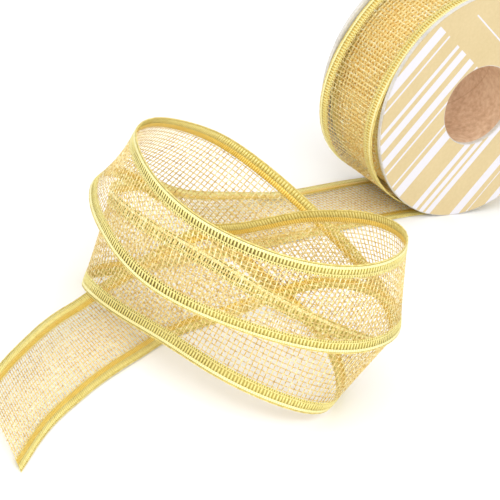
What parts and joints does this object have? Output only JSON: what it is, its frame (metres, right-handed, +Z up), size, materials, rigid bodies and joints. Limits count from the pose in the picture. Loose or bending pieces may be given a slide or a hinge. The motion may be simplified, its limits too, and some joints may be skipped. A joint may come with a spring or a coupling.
{
  "type": "ribbon spool",
  "caption": "Spool of gold mesh wired-edge ribbon on board flanges and core, its loose end pulled off in two standing loops and a flat tail",
  "frame": {"origin": "middle of the bore through the core", "axes": "+Y along the spool's axis with the printed front flange facing -Y, +Z up, and the ribbon leaves the bottom of the roll towards -X"},
  "size_m": [0.3644, 0.2042, 0.1061],
  "materials": {
    "kraft_board": "matt brown board with a fine fibrous grain",
    "grey_board": "matt pale grey board, cut edges slightly fuzzy",
    "striped_paper": "smooth cream paper printed with white slanting stripes of several widths",
    "plain_paper": "smooth plain cream paper",
    "dried_glue": "dull dried glue",
    "tape": "plain paper tape",
    "gold_mesh": "open metallic gold mesh that light passes through",
    "gold_mesh_roll": "many layers of gold mesh, orange gold with small glints",
    "gold_hem": "bright yellow-gold woven band with a ladder pattern",
    "edge_wire": "fine dull gold wire"
  },
  "bodies": {
    "loose_ribbon": {"turn_web": "gold_mesh", "turn_front_hem": "gold_hem", "turn_back_hem": "gold_hem", "lead_web": "gold_mesh", "lead_front_hem": "gold_hem", "lead_back_hem": "gold_hem", "lower_web": "gold_mesh", "lower_front_hem": "gold_hem", "lower_back_hem": "gold_hem", "rise_web": "gold_mesh", "rise_front_hem": "gold_hem", "rise_back_hem": "gold_hem", "upper_web": "gold_mesh", "upper_front_hem": "gold_hem", "upper_back_hem": "gold_hem", "tail_web": "gold_mesh", "tail_front_hem": "gold_hem", "tail_back_hem": "gold_hem", "front_wire": "edge_wire", "back_wire": "edge_wire"},
    "spool": {"core_tube": "kraft_board", "front_flange": "grey_board", "back_flange": "grey_board", "front_label": "striped_paper", "back_label": "plain_paper", "front_glue_ring": "dried_glue", "back_glue_ring": "dried_glue", "start_tape": "tape", "wound_web": "gold_mesh_roll", "wound_front_hem": "gold_hem", "wound_back_hem": "gold_hem", "wound_front_wire": "edge_wire", "wound_back_wire": "edge_wire"}
  },
  "joints": [
    {"name": "spool_spin", "type": "hinge", "parent": "loose_ribbon", "child": "spool", "pos_m": [0, 0, 0], "axis": [0, 1, 0], "continuous": true}
  ]
}
